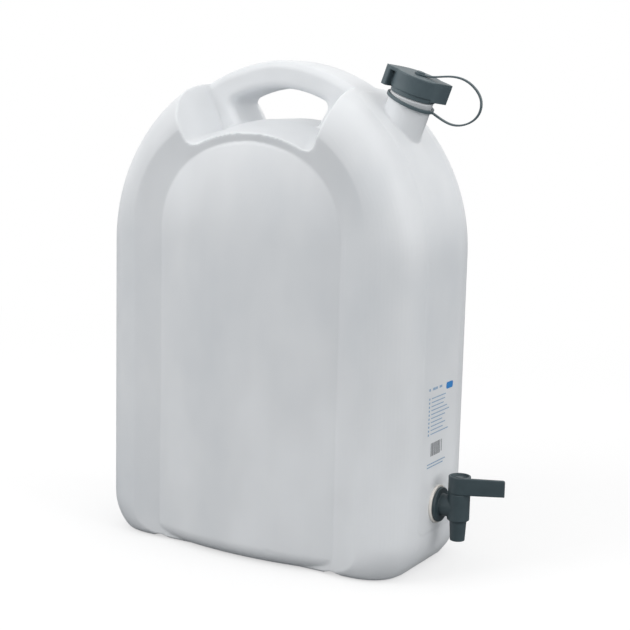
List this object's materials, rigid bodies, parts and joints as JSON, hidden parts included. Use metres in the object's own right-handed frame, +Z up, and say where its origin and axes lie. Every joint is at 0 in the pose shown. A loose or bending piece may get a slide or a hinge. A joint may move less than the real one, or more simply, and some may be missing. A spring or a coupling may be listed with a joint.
{
  "type": "jerrycan with tap",
  "caption": "Upright plastic jerrycan with a moulded top handle, a tilted screw-capped filling neck with a tethered cap, and a lever tap low on one narrow side.",
  "frame": {"origin": "centre of the canister's flat base, on the surface it stands on", "axes": "+Z up, +X along the width towards the filling neck and the tap, -Y out of the front face"},
  "size_m": [0.4182, 0.1798, 0.49],
  "materials": {
    "natural_polyethylene": "natural translucent polyethylene, blow moulded, soft satin",
    "slate_cap_plastic": "slate grey polypropylene, satin",
    "slate_tap_plastic": "slate grey polypropylene, satin",
    "cream_rubber": "cream sealing rubber",
    "black_rubber": "black sealing rubber",
    "white_liner": "soft white foam liner"
  },
  "bodies": {
    "can": {"canister_body": "natural_polyethylene", "cap_tether": "slate_cap_plastic", "tap_gasket": "cream_rubber", "tap_body": "slate_tap_plastic"},
    "cap_carrier": {"tether_button": "slate_cap_plastic"},
    "cap": {"screw_cap": "slate_cap_plastic", "cap_liner": "white_liner"},
    "tap_key": {"tap_plug": "slate_tap_plastic", "plug_seal_lower": "black_rubber", "plug_seal_upper": "black_rubber", "tap_lever": "slate_tap_plastic"}
  },
  "joints": [
    {"name": "cap_rise", "type": "slide", "parent": "can", "child": "cap_carrier", "axis": [0.3404, 0, 0.9403], "range_m": [0, 0.009], "deforming": ["cap_tether"]},
    {"name": "cap_turn", "type": "hinge", "parent": "cap_carrier", "child": "cap", "pos_m": [0.1316, 0, 0.4538], "axis": [0.3404, 0, 0.9403], "range_deg": [0, 540]},
    {"name": "tap_turn", "type": "hinge", "parent": "can", "child": "tap_key", "pos_m": [0.199, 0, 0.0664], "axis": [0, 0, 1], "range_deg": [-112.2, 67.8]}
  ],
  "couplings": [
    {"joint": "cap_rise", "follows": "cap_turn", "m_per_rad": 0.00095492}
  ]
}
